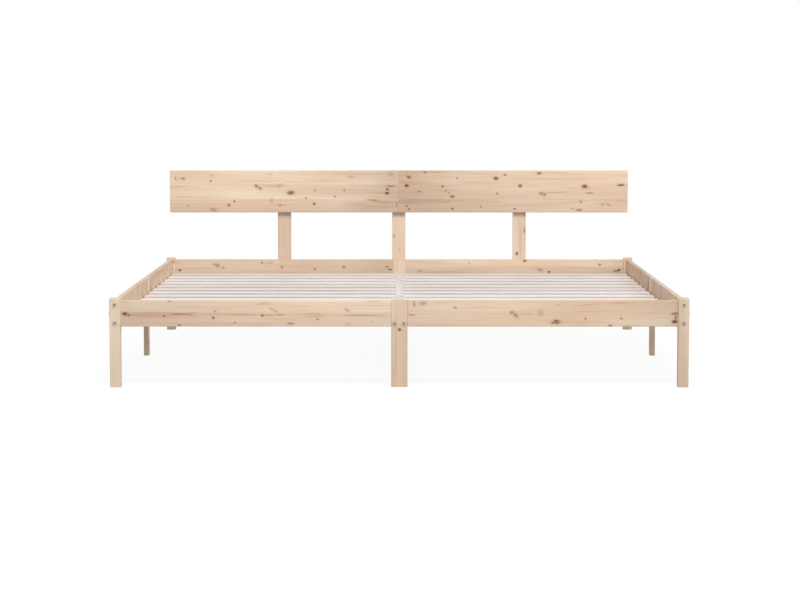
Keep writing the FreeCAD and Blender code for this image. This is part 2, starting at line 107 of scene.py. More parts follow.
# Knots by chance: length of board to each, place from its middle in lengths and widths of the board,
# half length in mm, height to length, tilt in radians, darkness
KNOT_SPACING = 220 * MM
KNOT_ALONG = (-0.47, 0.47)
KNOT_ACROSS = (-0.42, 0.42)
KNOT_HALF = (3, 9)
KNOT_ROUNDNESS = (0.6, 0.95)
KNOT_TILT = (-0.4, 0.4)
KNOT_DARKNESS = (0.4, 0.9)

# Red streaks and dark marks: where they begin to fade and end, in their own size, and the streaks' ripple
STREAK_EDGE = (0.1, 1.1)
RIPPLE_PATTERN = ((7, 30, 0), 2.0)
RIPPLE_LEVEL = (-0.8, 1.6)

# Glued staves: how far apart in the log they are cut at most, how pale they are, and the share of the
# board's width that is counted, so that no further stave begins on its edge
STAVE_SHIFT = (3.0, 0.09, 0.02)
STAVE_LEVEL = (0.97, 0.06)
STAVE_FIT = 0.998

# End grain, darker than the planed faces, and painted shade on the edges of a flat board: both darken those
# faces and a strip beside them. A board is flat if its width is more than its thickness times the flatness
EDGE_DEPTH = 1.4 * MM
EDGE_SHADE = 0.78
END_TONE = 0.74
FLATNESS = 2

# Gloss of all the wood, and surface of the pine, with the height of its fibres beside the late wood's
WOOD_GLOSS = 0.3
PINE_ROUGHNESS = (0.6, -0.1)
PINE_RELIEF = (0.25, 0.25 * MM)
FIBRE_HEIGHT = 0.6


def paint(red, green, blue):
    """A colour as it looks on screen, 0 to 255, as the linear values that shaders take, by the sRGB curve."""
    def linear(part):
        share = part / 255
        return share / 12.92 if share <= 0.04045 else ((share + 0.055) / 1.055) ** 2.4
    return (linear(red), linear(green), linear(blue), 1.0)


# Wood colours
PALE_PINE = paint(236, 215, 192)
WARM_PINE = paint(225, 197, 169)
LATE_WOOD = paint(204, 163, 132)
RED_WOOD = paint(182, 118, 84)
KNOT_BROWN = paint(154, 104, 74)
KNOT_HEART = paint(92, 56, 40)
# Colour of the dark marks on the side rails' inner faces, partly painted shade
DARK_MARK_BROWN = paint(160, 106, 78)

# Knots that show in the photograph, in mm of the frame:
# place along and across the board, half length, half height, tilt in degrees, darkness
FACE_KNOTS = {
    "headboard_panel_left": [
        (-478, 604, 15, 8, 0, 0.85), (-630, 635, 9, 7, -40, 0.55), (-615, 625, 9, 6, -15, 0.5),
        (-751, 550, 6, 5, 0, 0.9), (-727, 567, 4, 4, 0, 0.8), (-832, 657, 5, 4, 0, 0.6),
        (-376, 556, 5, 5, 0, 0.85), (-284, 588, 4, 3, 0, 0.7), (-411, 581, 4, 4, 0, 0.5),
        (-371, 615, 4, 4, 0, 0.45), (-243, 615, 4, 4, 0, 0.5), (-54, 603, 8, 5, 0, 1.0),
        (-53, 620, 7, 4, 0, 0.85), (-526, 550, 5, 4, 0, 0.5), (-932, 548, 4, 4, 0, 0.35),
        (-985, 668, 4, 8, 10, 0.4), (-968, 668, 3, 7, 0, 0.3), (-953, 667, 9, 6, 0, 0.45),
        (-827, 683, 10, 6, 0, 0.14), (-570, 687, 8, 5, 0, 0.12), (-212, 675, 15, 5, -15, 0.18),
        (-38, 687, 14, 9, 0, 0.18), (-526, 637, 16, 10, 0, 0.14), (-12, 554, 4, 10, 0, 0.35),
        (-563, 569, 8, 12, 0, 0.2), (-820, 531, 16, 8, -10, 0.32),
    ],
    "headboard_panel_right": [
        (32, 636, 8, 6, 0, 1.0), (40, 675, 10, 5, -25, 0.75), (190, 632, 4, 4, 0, 0.85),
        (233, 588, 9, 5, 0, 0.7), (425, 668, 9, 6, -10, 0.95), (464, 684, 7, 4, 0, 0.6),
        (531, 636, 7, 6, 0, 0.9), (431, 601, 4, 4, 0, 0.7), (624, 602, 10, 7, 0, 0.45),
        (638, 598, 9, 8, 0, 0.4), (615, 690, 10, 5, 0, 0.7), (816, 633, 12, 7, 0, 0.84),
        (976, 639, 14, 5, 0, 0.85), (795, 570, 4, 4, 0, 0.4), (801, 562, 5, 4, 0, 0.5),
        (791, 529, 12, 5, 0, 0.55), (762, 535, 5, 4, 0, 0.45), (508, 534, 5, 4, 0, 0.85),
        (234, 534, 5, 4, 0, 0.75), (358, 544, 4, 4, 0, 0.5), (32, 546, 4, 4, 0, 0.7),
        (42, 532, 4, 4, 0, 0.65), (112, 695, 5, 4, 0, 0.75), (253, 669, 4, 4, 0, 0.5),
        (87, 611, 9, 3, 0, 0.45), (205, 612, 6, 5, 0, 0.25), (218, 606, 5, 4, 0, 0.3),
        (894, 551, 8, 5, 0, 0.24), (923, 551, 10, 5, -20, 0.3), (905, 566, 5, 5, 0, 0.12),
    ],
    "rail_front_left": [
        (-974, 262, 8, 5, 0, 1.0), (-961, 256, 6, 5, 0, 0.5), (-834, 253, 4, 3, 0, 0.9),
        (-660, 248, 4, 4, 0, 0.9), (-486, 256, 5, 4, 0, 0.82), (-290, 242, 4, 3, 0, 0.7),
        (-584, 230, 4, 3, 0, 0.45), (-782, 221, 6, 3, 0, 0.75), (-385, 227, 12, 4, 0, 0.5),
        (-452, 277, 8, 4, -30, 0.28), (-440, 272, 8, 4, -10, 0.3), (-186, 275, 10, 5, -25, 0.38),
        (-816, 306, 6, 3, 0, 0.4), (-480, 298, 28, 4, 5, 0.18), (-654, 271, 6, 4, 0, 0.32),
        (-98, 234, 4, 4, 0, 0.2), (-181, 226, 8, 5, 0, 0.16),
    ],
    "rail_front_right": [
        (557, 232, 14, 7, 0, 0.6), (556, 237, 8, 3, 0, 1.0), (544, 229, 4, 4, 0, 0.8),
        (400, 266, 7, 6, 0, 0.5), (413, 256, 12, 7, -40, 0.4),
        (501, 265, 11, 10, 0, 0.18), (978, 234, 9, 6, 0, 1.0), (981, 248, 4, 8, 0, 0.7),
        (978, 262, 12, 5, 0, 0.55),
        (661, 244, 4, 3, 0, 0.7), (788, 245, 4, 3, 0, 0.65), (748, 219, 6, 3, 0, 0.8),
        (84, 299, 13, 7, 10, 0.3), (53, 296, 4, 9, 0, 0.35), (199, 283, 6, 4, 0, 0.4),
        (564, 294, 10, 4, 0, 0.15),
    ],
    "rail_rear_left": [
        (-806, 284, 14, 7, -10, 0.42), (-777, 273, 4, 4, 0, 0.5), (-607, 295, 5, 4, 0, 0.6),
        (-519, 277, 5, 5, 0, 0.6), (-373, 268, 5, 4, 0, 0.6), (-245, 277, 6, 5, 0, 0.55),
        (-55, 277, 6, 4, 0, 0.72), (-42, 266, 6, 4, 0, 0.72),
    ],
    "rail_rear_right": [
        (91, 259, 11, 4, 0, 0.28), (24, 272, 4, 8, 0, 0.25), (307, 295, 5, 4, 0, 0.3),
        (622, 264, 13, 6, -20, 0.35),
        (661, 255, 6, 4, 0, 0.9), (884, 288, 6, 4, 0, 0.62), (958, 259, 10, 4, 0, 0.55),
        (553, 304, 7, 5, 0, 0.9),
    ],
    "leg_front_centre": [(205, 1, 5, 5, 0, 0.85)],
    "leg_rear_centre": [],
    "headboard_post_right": [(335, 518, 7, 6, 0, 0.85), (440, 552, 14, 4, 0, 0.45)],
    "headboard_post_left": [],
    "headboard_post_centre": [(415, -25, 8, 5, 0, 0.35), (356, 0, 5, 3, 0, 0.25)],
    "post_front_left": [],
    "post_front_right": [],
}

# Red streaks of late wood that show in the photograph, in mm of the frame:
# place along and across the board, half length, half height, tilt in degrees, strength
FACE_STREAKS = {
    "headboard_panel_left": [
        (-40, 634, 36, 7, 2, 0.85), (-114, 572, 44, 5, -2, 1.0), (-70, 562, 110, 14, 0, 0.45),
        (-526, 550, 55, 3, 0, 0.55), (-560, 634, 80, 14, 0, 0.25), (-970, 632, 34, 5, 0, 0.25),
        (-330, 660, 120, 7, 0, 0.3), (-180, 556, 110, 12, 0, 0.3), (-20, 610, 140, 130, 0, 0.14),
        (-110, 545, 170, 30, 0, 0.22),
    ],
    "headboard_panel_right": [
        (837, 604, 28, 5, 0, 0.9), (690, 606, 80, 4, 3, 0.55), (160, 695, 70, 4, -1, 0.55),
        (60, 640, 60, 6, 8, 0.35), (60, 604, 60, 5, 0, 0.3), (900, 556, 50, 4, 0, 0.3),
        (330, 650, 90, 4, -3, 0.3), (350, 690, 120, 3, 0, 0.25), (20, 610, 260, 160, 0, 0.18),
    ],
    "rail_front_left": [
        (-870, 267, 110, 3, 0, 0.36), (-895, 251, 65, 3, 1, 0.34), (-780, 260, 60, 5, 0, 1.0),
        (-745, 263, 45, 4, 6, 0.6), (-745, 256, 45, 4, -6, 0.55), (-880, 258, 150, 12, 0, 0.28),
        (-560, 259, 85, 4, -1, 0.5), (-423, 258, 26, 4, 0, 0.8), (-303, 261, 60, 3, -2, 0.55),
        (-303, 252, 60, 3, 2, 0.55), (-132, 256, 110, 4, 0, 0.65), (-650, 226, 320, 12, 0, 0.2),
        (-660, 259, 60, 3, 0, 0.3), (-460, 257, 40, 5, 2, 0.38), (-95, 305, 45, 3, 0, 0.4),
    ],
    "rail_front_right": [
        (43, 258, 22, 5, 0, 0.7), (783, 300, 60, 5, 2, 0.38), (670, 294, 80, 4, 5, 0.32),
        (880, 262, 80, 4, 6, 0.15), (600, 252, 70, 5, 0, 0.12), (450, 260, 45, 8, 0, 0.25),
        (150, 300, 70, 4, 6, 0.2),
    ],
    "rail_rear_left": [(-575, 294, 28, 4, 0, 0.6)],
}

# Dark vertical marks on the inner faces of the side rails, in the same way; the strongest, on the rear halves
# beside the side legs, are painted shade
INNER_DARK_MARKS = {
    "rail_left_front": [
        (-375, 300, 16, 70, 6, 0.45), (-225, 235, 14, 80, -5, 0.5), (-90, 250, 12, 60, 4, 0.3),
    ],
    "rail_right_front": [
        (-379, 300, 16, 75, -5, 0.6), (-518, 240, 14, 60, 4, 0.4), (-140, 250, 12, 60, 5, 0.3),
    ],
    "rail_left_rear": [(74, 244, 26, 46, 3, 1.0), (405, 246, 22, 28, 0, 0.7)],
    "rail_right_rear": [(74, 262, 26, 60, -3, 1.0), (420, 250, 20, 40, 0, 0.4)],
}

# Glued boards across each headboard panel
STAVES = {"headboard_panel_left": 3, "headboard_panel_right": 3}

# How pale a board is from its low end to its high end, and from its lower to its upper edge, partly painted
# shade
TONES_ALONG = {
    "headboard_panel_left": [(0.0, 1.02), (0.28, 1.1), (0.7, 1.0), (1.0, 0.84)],
    "headboard_panel_right": [(0.0, 0.84), (0.3, 0.95), (0.8, 1.06), (1.0, 1.06)],
    "rail_front_left": [(0.0, 0.93), (0.35, 1.02), (0.75, 1.1), (1.0, 1.02)],
    "rail_front_right": [(0.0, 0.95), (0.3, 1.03), (0.75, 1.0), (1.0, 0.85)],
    "rail_rear_left": [(0.0, 0.96), (0.5, 0.96), (0.75, 0.96), (1.0, 0.84)],
    "rail_rear_right": [(0.0, 0.95), (0.5, 1.02), (0.8, 1.0), (1.0, 0.89)],
    "leg_front_centre": [(0.0, 0.95), (0.7, 0.95), (0.8, 1.0), (1.0, 1.02)],
    "post_front_left": [(0.0, 1.02), (1.0, 1.09)],
    "post_front_right": [(0.0, 0.79), (0.5, 0.86), (1.0, 0.89)],
}
TONES_ACROSS_WITH_SHADE = {
    "headboard_panel_left": [(0.0, 0.96), (0.31, 1.03), (0.34, 1.06), (1.0, 1.04)],
    "headboard_panel_right": [(0.0, 0.97), (0.45, 0.94), (0.6, 1.0), (1.0, 1.04)],
    # The front rails' darker lower edges are painted shade
    "rail_front_left": [(0.0, 0.89), (0.05, 0.99), (0.5, 0.97), (0.62, 1.06), (1.0, 1.06)],
    "rail_front_right": [(0.0, 0.9), (0.05, 1.0), (1.0, 1.0)],
    "rail_rear_right": [(0.0, 0.9), (0.6, 0.94), (0.75, 1.05), (1.0, 1.08)],
}
EVEN = [(0.0, 1.0), (1.0, 1.0)]

# Tint of a board beside the others, partly painted light and shade
TINTS_AND_PAINTED_LIGHT = {
    "headboard_panel_left": (1.0, 1.03, 1.05),
    "rail_front_left": (1.0, 1.03, 1.05),
    "post_front_left": (1.02, 1.12, 1.16),
    # Painted shade on the side rails, darkest on the right
    "rail_left_front": (0.96, 0.96, 0.95),
    "rail_left_rear": (0.96, 0.96, 0.95),
    "rail_right_front": (0.9, 0.88, 0.86),
    "rail_right_rear": (0.9, 0.88, 0.86),
    # Painted light on the side legs, which lifts them out of the shade under the bed
    "leg_left_side": (1.2, 1.27, 1.32),
    "leg_right_side": (1.1, 1.1, 1.1),
    "headboard_post_left": (0.955, 0.955, 0.975),
    "headboard_post_centre": (1.06, 1.13, 1.19),
    "headboard_post_right": (1.06, 1.12, 1.19),
    "leg_rear_centre": (1.06, 1.13, 1.19),
}
NO_TINT = (1.0, 1.0, 1.0)

# Redness of the lower part of a board, from its lower edge up
BLUSH_ACROSS = {
    "headboard_panel_left": [(0.0, 0.15), (0.31, 0.1), (0.33, 0.0), (1.0, 0.0)],
    "rail_front_left": [(0.0, 0.08), (0.48, 0.1), (0.56, 0.0), (1.0, 0.0)],
}
PALE_ALL_OVER = [(0.0, 0.0), (1.0, 0.0)]


# Node helpers

def put(tree, socket, value):
    """Feed a socket from another socket, or set it to a constant."""
    if isinstance(value, bpy.types.NodeSocket):
        tree.links.new(value, socket)
    else:
        socket.default_value = value


def add_node(tree, kind, inputs, **settings):
    """Add a node, with its settings and its inputs by socket name or number."""
    made = tree.nodes.new(kind)
    for name, value in settings.items():
        setattr(made, name, value)
    for key, value in inputs.items():
        put(tree, made.inputs[key], value)
    return made


def calc(tree, operation, *values):
    """A sum on numbers."""
    return add_node(tree, "ShaderNodeMath", dict(enumerate(values)), operation=operation).outputs[0]


def vector_calc(tree, operation, *values):
    """A sum on vectors."""
    sockets = (0, "Scale") if operation == "SCALE" else range(len(values))
    made = add_node(tree, "ShaderNodeVectorMath", dict(zip(sockets, values)), operation=operation)
    return made.outputs["Value" if operation in ("LENGTH", "DOT_PRODUCT") else "Vector"]


def between(tree, share, first, second):
    """A number between two numbers."""
    return add_node(tree, "ShaderNodeMix", {0: share, 2: first, 3: second}, data_type="FLOAT").outputs[0]


def blend(tree, share, first, second, how="MIX"):
    """A colour between two colours."""
    made = add_node(tree, "ShaderNodeMix", {0: share, 6: first, 7: second}, data_type="RGBA", blend_type=how)
    return made.outputs[2]


def ease(tree, value, low, high, start=0.0, end=1.0):
    """Go smoothly from start to end while value goes from low to high."""
    inputs = {0: value, 1: low, 2: high, 3: start, 4: end}
    return add_node(tree, "ShaderNodeMapRange", inputs, interpolation_type="SMOOTHSTEP").outputs[0]


def split(tree, vector):
    """The three numbers of a vector."""
    return add_node(tree, "ShaderNodeSeparateXYZ", {0: vector}).outputs


def join(tree, first, second, third):
    """A vector of three numbers."""
    return add_node(tree, "ShaderNodeCombineXYZ", {0: first, 1: second, 2: third}).outputs[0]


def vary(tree, share, start, change):
    """A level's start, and as much of its change as the share says."""
    return calc(tree, "MULTIPLY_ADD", share, change, start)


def noise(tree, place, pattern, shift=(0, 0, 0), output=0):
    """Cloudy noise of a pattern, as a number or as the three numbers of a colour."""
    stretch, detail = pattern
    spot = vector_calc(tree, "MULTIPLY_ADD", place, stretch, shift)
    made = add_node(tree, "ShaderNodeTexNoise", {"Vector": spot, "Scale": 1.0, "Detail": detail})
    return made.outputs[output]


def ramp(tree, share, stops):
    """A number that goes through the stops, each a share and a level."""
    made = add_node(tree, "ShaderNodeValToRGB", {0: share})
    marks = made.color_ramp.elements
    while len(marks) < len(stops):
        marks.new(1.0)
    for mark, (place, level) in zip(marks, stops):
        mark.position = place
        mark.color = (level, level, level, 1.0)
    return made.outputs[0]


def luck(tree, number):
    """A random number, and three as a colour, that stay the same all over one ring or stave."""
    return add_node(tree, "ShaderNodeTexWhiteNoise", {"W": number}, noise_dimensions="1D")


def new_material(name):
    """An empty material with its shader."""
    material = bpy.data.materials.new(name)
    material.use_nodes = True
    tree = material.node_tree
    return material, tree, tree.nodes["Principled BSDF"]


def frame_place(tree):
    """Place on the piece, in metres of the frame."""
    return add_node(tree, "ShaderNodeTexCoord", {}).outputs["Object"]


def give_surface(tree, shader, colour, roughness, height, relief):
    """Set a shader's colour and roughness, and a relief over a height."""
    strength, depth = relief
    bump = add_node(tree, "ShaderNodeBump", {"Strength": strength, "Distance": depth, "Height": height})
    put(tree, shader.inputs["Base Color"], colour)
    put(tree, shader.inputs["Roughness"], roughness)
    put(tree, shader.inputs["Normal"], bump.outputs[0])


# Boards

class Board:
    """A board: middle, sides, axes along, across and through the wood, its material and the place on it."""

    def __init__(self, kind, name):
        low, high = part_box(name)
        self.name = name
        self.chance = random.Random(name)
        self.middle = [(low[axis] + high[axis]) / 2 for axis in range(3)]
        self.sides = [high[axis] - low[axis] for axis in range(3)]
        self.along, self.across, self.through = sorted(range(3), key=lambda axis: -self.sides[axis])
        self.material, self.tree, self.shader = new_material(kind + "_" + name)
        from_middle = vector_calc(self.tree, "SUBTRACT", frame_place(self.tree), self.middle)
        self.parts = split(self.tree, from_middle)
        axes = (self.along, self.across, self.through)
        self.place = join(self.tree, *(self.parts[axis] for axis in axes))

    def share(self, axis):
        """How far up an axis a place is, from 0 to 1."""
        return calc(self.tree, "MULTIPLY_ADD", self.parts[axis], 1 / self.sides[axis], 0.5)


# Ovals on a board: knots, streaks and dark marks, partly painted shade

def on_board(board, ovals):
    """Ovals of the frame, in mm and degrees, as middle, halves, tilt and level in the board's own measure."""
    placed = []
    for spot, height, half, rise, tilt, level in ovals:
        centre = (spot * MM - board.middle[board.along], height * MM - board.middle[board.across])
        placed.append((centre, (half * MM, rise * MM), math.radians(tilt), level))
    return placed


def board_knots(board):
    """Knots of a board: those in the photograph, or a few by chance."""
    if board.name in FACE_KNOTS:
        return on_board(board, FACE_KNOTS[board.name])
    chance = board.chance
    length, width = board.sides[board.along], board.sides[board.across]
    knots = []
    for _ in range(1 + round(length / KNOT_SPACING)):
        half = chance.uniform(*KNOT_HALF) * MM
        centre = (chance.uniform(*KNOT_ALONG) * length, chance.uniform(*KNOT_ACROSS) * width)
        halves = (half, half * chance.uniform(*KNOT_ROUNDNESS))
        tilt = chance.uniform(*KNOT_TILT)
        knots.append((centre, halves, tilt, chance.uniform(*KNOT_DARKNESS)))
    return knots


def inside_oval(board, centre, halves, tilt):
    """Place along and across a tilted oval on a board's face, in its half length and half height."""
    half, rise = halves
    cosine, sine = math.cos(tilt), math.sin(tilt)
    offset = vector_calc(board.tree, "SUBTRACT", board.place, (*centre, 0))
    along = vector_calc(board.tree, "DOT_PRODUCT", offset, (cosine / half, sine / half, 0))
    across = vector_calc(board.tree, "DOT_PRODUCT", offset, (-sine / rise, cosine / rise, 0))
    return along, across


def far(tree, along, across):
    """Distance from the middle of an oval."""
    square = calc(tree, "MULTIPLY_ADD", along, along, calc(tree, "MULTIPLY", across, across))
    return calc(tree, "SQRT", square)


def knot_marks(board, knots, seed):
    """Distance to the nearest knot in knot sizes, how dark it is, and how far it pushes the grain."""
    tree = board.tree
    ragged = noise(tree, board.place, KNOT_EDGE_PATTERN, (seed, 0, 0))
    rough_edge = vary(tree, ragged, *KNOT_EDGE_LEVEL)
    nearest, darkness, push = NO_KNOT, 0.0, 0.0
    for centre, halves, tilt, dark in knots:
        along, across = inside_oval(board, centre, halves, tilt)
        distance = calc(tree, "ADD", far(tree, along, across), rough_edge)
        darkness = between(tree, calc(tree, "LESS_THAN", distance, nearest), darkness, dark)
        nearest = calc(tree, "MINIMUM", distance, nearest)
        pull = ease(tree, distance, 0.0, KNOT_REACH, -KNOT_PUSH * halves[1], 0.0)
        push = calc(tree, "MULTIPLY_ADD", pull, across, push)
    return nearest, darkness, push


def streak_marks(board, streaks, ripple):
    """How strongly a board's streaks show."""
    tree = board.tree
    shown = 0.0
    for centre, halves, tilt, strength in on_board(board, streaks):
        along, across = inside_oval(board, centre, halves, tilt)
        distance = far(tree, along, calc(tree, "ADD", across, ripple))
        shown = calc(tree, "MAXIMUM", ease(tree, distance, *STREAK_EDGE, strength, 0.0), shown)
    return shown


# Pine

def stave_log(board, seed):
    """Place in the log that each glued stave comes from, and how pale the stave is."""
    tree = board.tree
    staves = STAVES.get(board.name, 1)
    staves_a_metre = STAVE_FIT * staves / board.sides[board.across]
    stave = calc(tree, "MULTIPLY_ADD", board.parts[board.across], staves_a_metre, staves / 2)
    stave_luck = luck(tree, calc(tree, "ADD", calc(tree, "FLOOR", stave), seed))
    log = vector_calc(tree, "MULTIPLY_ADD", stave_luck.outputs["Color"], STAVE_SHIFT, board.place)
    return log, vary(tree, stave_luck.outputs["Value"], *STAVE_LEVEL)


def growth_rings(board, log, push, seed):
    """The log's grain, bent by chance and by knots, and the rings out to it from a pith behind the face."""
    tree = board.tree
    chance = board.chance
    pith_depth = chance.choice((-1, 1)) * chance.uniform(*PITH_DEPTH)
    pith = (0, chance.uniform(*PITH_ASIDE) * board.sides[board.across], pith_depth)
    wander = noise(tree, log, WANDER_PATTERN, (seed, seed, 0), "Color")
    grain = vector_calc(tree, "MULTIPLY_ADD", wander, (0, GRAIN_WANDER, GRAIN_WANDER), log)
    grain = vector_calc(tree, "ADD", grain, join(tree, 0.0, push, 0.0))
    spoke = vector_calc(tree, "MULTIPLY", vector_calc(tree, "SUBTRACT", grain, pith), (0, 1, 1))
    radius = calc(tree, "MULTIPLY_ADD", split(tree, log)[0], TAPER, vector_calc(tree, "LENGTH", spoke))
    return grain, calc(tree, "DIVIDE", radius, RING_WIDTH)


def late_wood(tree, rings, seed):
    """Late wood over the width of each ring, and how strongly it shows in its year."""
    season = calc(tree, "FRACT", rings)
    late = calc(tree, "MULTIPLY", ease(tree, season, *LATE_ONSET), ease(tree, season, *LATE_END))
    year = luck(tree, calc(tree, "ADD", calc(tree, "FLOOR", rings), seed)).outputs["Value"]
    year = vary(tree, calc(tree, "POWER", year, YEAR_POWER), *YEAR_LEVEL)
    return late, calc(tree, "MULTIPLY", late, year)


def clear_wood(tree, log, grain, rings, seed):
    """Pale wood with broad warm clouds and bands, and wisps along the grain."""
    cloud = noise(tree, log, CLOUD_PATTERN, (seed, 0, 0))
    growth = join(tree, rings, split(tree, log)[0], 0.0)
    band = noise(tree, growth, BAND_PATTERN, (0, 0, seed))
    wisp = noise(tree, grain, WISP_PATTERN, (seed, 0, 0))
    colour = blend(tree, ease(tree, cloud, *CLOUD_FADE), PALE_PINE, WARM_PINE)
    colour = blend(tree, ease(tree, band, *BAND_FADE), colour, WARM_PINE)
    return blend(tree, ease(tree, wisp, *WISP_FADE), colour, LATE_WOOD)


def redden(board, colour, seed):
    """Red streaks, dark marks on the inner face, partly painted shade, and the blush of a board's lower part.
    """
    tree = board.tree
    ripple = vary(tree, noise(tree, board.place, RIPPLE_PATTERN, (seed, 0, 0)), *RIPPLE_LEVEL)
    streaks = streak_marks(board, FACE_STREAKS.get(board.name, []), ripple)
    colour = blend(tree, streaks, colour, RED_WOOD)
    to_middle = -math.copysign(1.0, board.middle[board.through])
    inward = calc(tree, "MULTIPLY", board.parts[board.through], to_middle)
    # Dark marks on the inner face, the strongest of them painted shade
    dark_marks = streak_marks(board, INNER_DARK_MARKS.get(board.name, []), 0.0)
    dark_marks = calc(tree, "MULTIPLY", dark_marks, ease(tree, inward, -MM, MM))
    colour = blend(tree, dark_marks, colour, DARK_MARK_BROWN)
    blush = ramp(tree, board.share(board.across), BLUSH_ACROSS.get(board.name, PALE_ALL_OVER))
    return blend(tree, blush, colour, RED_WOOD)


def paint_knots(tree, colour, nearest, darkness):
    """Knots: a red halo, a brown body with rings, a dark rim and a dark heart."""
    halo = calc(tree, "MULTIPLY", ease(tree, nearest, *HALO_FADE), darkness)
    colour = blend(tree, halo, colour, RED_WOOD)
    body = calc(tree, "MULTIPLY", ease(tree, nearest, *BODY_FADE), darkness)
    colour = blend(tree, body, colour, KNOT_BROWN)
    wave = calc(tree, "SINE", calc(tree, "MULTIPLY", nearest, KNOT_RINGS))
    rings = calc(tree, "MULTIPLY", ease(tree, wave, *KNOT_RING_FADE), body)
    colour = blend(tree, rings, colour, KNOT_HEART)
    off_rim = calc(tree, "ABSOLUTE", calc(tree, "SUBTRACT", nearest, RIM_PLACE))
    rim = calc(tree, "MULTIPLY", ease(tree, off_rim, *RIM_FADE), calc(tree, "POWER", darkness, RIM_POWER))
    colour = blend(tree, rim, colour, KNOT_HEART)
    heart = calc(tree, "MULTIPLY", ease(tree, nearest, *HEART_FADE), darkness)
    return blend(tree, heart, colour, KNOT_HEART)


def board_tint(board, stave_tone):
    """Tint of a board, by its staves, its tones along and across, its darker ends, its painted edge shade,
    and its tint, partly painted light and shade.
    """
    tree = board.tree
    tone = stave_tone
    for axis, tones in ((board.along, TONES_ALONG), (board.across, TONES_ACROSS_WITH_SHADE)):
        tone = calc(tree, "MULTIPLY", tone, ramp(tree, board.share(axis), tones.get(board.name, EVEN)))
    # End grain is darker; the narrow faces of a flat board get painted shade
    end_grain_and_edge_shade = {board.along: END_TONE}
    if board.sides[board.across] > FLATNESS * board.sides[board.through]:
        end_grain_and_edge_shade[board.across] = EDGE_SHADE
    for axis, darkening in end_grain_and_edge_shade.items():
        inset = calc(tree, "SUBTRACT", board.sides[axis] / 2, calc(tree, "ABSOLUTE", board.parts[axis]))
        tone = calc(tree, "MULTIPLY", tone, ease(tree, inset, 0.0, EDGE_DEPTH, darkening, 1.0))
    return vector_calc(tree, "SCALE", TINTS_AND_PAINTED_LIGHT.get(board.name, NO_TINT), tone)


def pine(name):
    """Knotty pine for one board, cut from its own log."""
    board = Board("pine", name)
    tree = board.tree
    seed = board.chance.uniform(*SEED_RANGE)
    log, stave_tone = stave_log(board, seed)
    nearest, darkness, push = knot_marks(board, board_knots(board), seed)
    grain, rings = growth_rings(board, log, push, seed)
    late, late_share = late_wood(tree, rings, seed)
    fibre = noise(tree, grain, FIBRE_PATTERN, (seed, 0, 0))

    colour = clear_wood(tree, log, grain, rings, seed)
    colour = blend(tree, late_share, colour, LATE_WOOD)
    colour = blend(tree, ease(tree, fibre, *FIBRE_FADE), colour, LATE_WOOD)
    colour = redden(board, colour, seed)
    colour = paint_knots(tree, colour, nearest, darkness)
    colour = blend(tree, 1.0, colour, board_tint(board, stave_tone), "MULTIPLY")

    height = calc(tree, "MULTIPLY_ADD", fibre, FIBRE_HEIGHT, late)
    give_surface(tree, board.shader, colour, vary(tree, late, *PINE_ROUGHNESS), height, PINE_RELIEF)
    board.shader.inputs["Specular IOR Level"].default_value = WOOD_GLOSS
    return board.material


# Plywood for the slats and the middle beam: its colours on screen, how far chance lifts or lowers them, its
# layers, how strongly the crosswise ones show, its figure and its fibres

PLY_PALE = (227, 219, 216)
PLY_GRAIN = (203, 190, 184)
PLY_CROSS = (207, 195, 188)
PLY_SPREAD = 4
PLIES = 9
CROSS_SHARE = 0.6
FIGURE_PATTERN = ((2.2, 60, 60), 3.0)
FIGURE_FADE = (0.4, 0.75, 0.0, 0.7)
PLY_FIBRE_PATTERN = ((12, 700, 700), 2.0)
PLY_FIBRE_FADE = (0.4, 0.8, 0.0, 0.35)
PLY_ROUGHNESS = (0.5, 0.15)
PLY_RELIEF = (0.2, 0.2 * MM)


def plywood(name):
    """Pale plywood for one board: fine grain along it, and its layers on the edges."""
    board = Board("plywood", name)
    tree = board.tree
    chance = board.chance
    seed = (chance.uniform(*SEED_RANGE), chance.uniform(*SEED_RANGE), 0)
    lift = chance.uniform(-PLY_SPREAD, PLY_SPREAD)
    tones = (PLY_PALE, PLY_GRAIN, PLY_CROSS)
    pale, grain, cross = (paint(*(part + lift for part in tone)) for tone in tones)

    figure = noise(tree, board.place, FIGURE_PATTERN, seed)
    fibre = noise(tree, board.place, PLY_FIBRE_PATTERN, seed)
    plies_a_metre = PLIES / board.sides[board.through]
    layer = calc(tree, "MULTIPLY_ADD", board.parts[board.through], plies_a_metre, PLIES / 2)
    crosswise = calc(tree, "GREATER_THAN", calc(tree, "MODULO", layer, 2.0), 1.0)

    colour = blend(tree, ease(tree, figure, *FIGURE_FADE), pale, grain)
    colour = blend(tree, ease(tree, fibre, *PLY_FIBRE_FADE), colour, grain)
    colour = blend(tree, calc(tree, "MULTIPLY", crosswise, CROSS_SHARE), colour, cross)
    give_surface(tree, board.shader, colour, vary(tree, figure, *PLY_ROUGHNESS), fibre, PLY_RELIEF)
    board.shader.inputs["Specular IOR Level"].default_value = WOOD_GLOSS
    return board.material


# Plated steel: its colours where it is bright, dull, and dark with dirt and painted shade, its tarnish, its
# scratches, and how far the painted shade and dirt reach out of a recess

